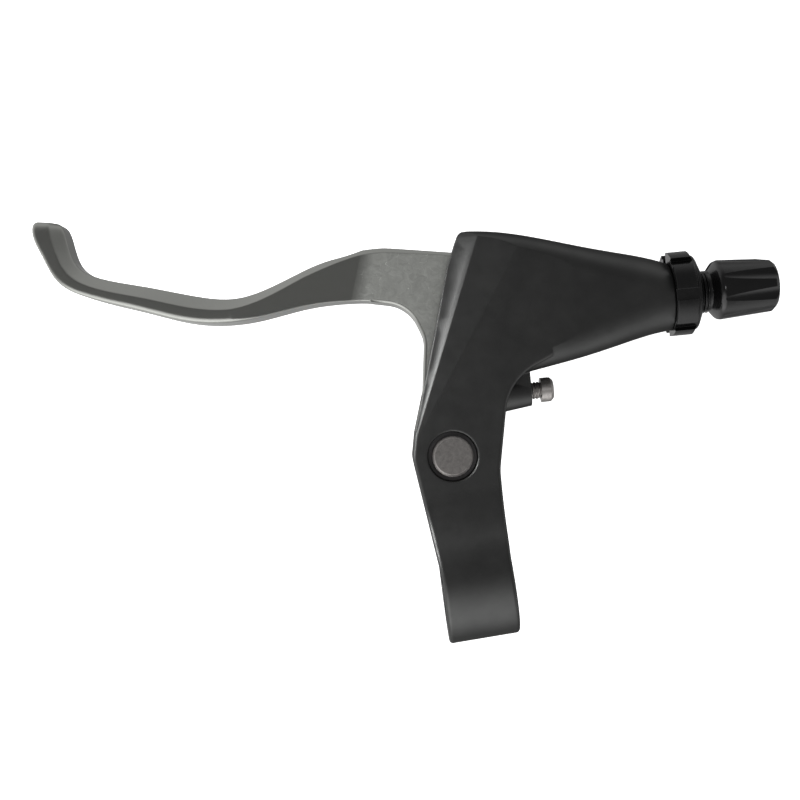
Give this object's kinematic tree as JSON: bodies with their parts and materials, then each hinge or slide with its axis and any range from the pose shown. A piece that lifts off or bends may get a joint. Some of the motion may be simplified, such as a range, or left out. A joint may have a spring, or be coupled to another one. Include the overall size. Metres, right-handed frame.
{
  "type": "bicycle brake lever",
  "caption": "Flat-bar cable brake lever: cast bracket with a bar clamp, a pivoting two-finger blade, cable hook, reach screw and barrel adjuster.",
  "frame": {"origin": "centre of the handlebar clamp's bore", "axes": "+X along the handlebar towards the cable adjuster, +Y from the handlebar to the lever blade, +Z along the lever's pivot towards the pin's head"},
  "size_m": [0.1648, 0.1102, 0.0326],
  "materials": {
    "body": "satin dark grey anodised",
    "blade": "tumbled grey",
    "adjuster": "black anodised",
    "steel": "plated",
    "spring_steel": "bright drawn wire",
    "black_steel": "black oxide",
    "black_plastic": "matte"
  },
  "bodies": {
    "bracket": {"bracket": "body", "clamp_bolt": "black_steel", "pivot_pin": "steel", "pivot_washer": "black_plastic", "pivot_clip": "black_steel", "return_spring": "spring_steel"},
    "lever": {"lever": "blade", "upper_pivot_bush": "black_plastic", "lower_pivot_bush": "black_plastic", "cable_hook_pin": "steel"},
    "cable_hook": {"cable_hook": "black_steel"},
    "adjuster_barrel": {"adjuster_barrel": "adjuster"},
    "adjuster_lock_ring": {"adjuster_lock_ring": "adjuster"},
    "reach_screw": {"reach_screw": "steel"}
  },
  "joints": [
    {"name": "lever_pivot", "type": "hinge", "parent": "bracket", "child": "lever", "pos_m": [-0.0007, 0.0272, 0], "axis": [0, 0, 1], "range_deg": [0, 35], "stiffness_Nm_per_rad": 0.08, "springref_deg": -34.38, "deforming": ["return_spring"]},
    {"name": "hook_swivel", "type": "hinge", "parent": "lever", "child": "cable_hook", "pos_m": [0.0083, 0.05841, 0], "axis": [0, 0, 1], "range_deg": [-36, 4]},
    {"name": "adjuster_turn", "type": "hinge", "parent": "bracket", "child": "adjuster_barrel", "pos_m": [0.05425, 0.0552, 0], "axis": [0.9976, -0.0698, 0], "range_deg": [-540, 2160]},
    {"name": "lock_ring_turn", "type": "hinge", "parent": "adjuster_barrel", "child": "adjuster_lock_ring", "pos_m": [0.05425, 0.0552, 0], "axis": [0.9976, -0.0698, 0], "range_deg": [0, 540]},
    {"name": "reach_screw_turn", "type": "hinge", "parent": "bracket", "child": "reach_screw", "pos_m": [0.0196, 0.0386, 0], "axis": [0.9976, -0.0698, 0], "range_deg": [-1260, 720]}
  ]
}
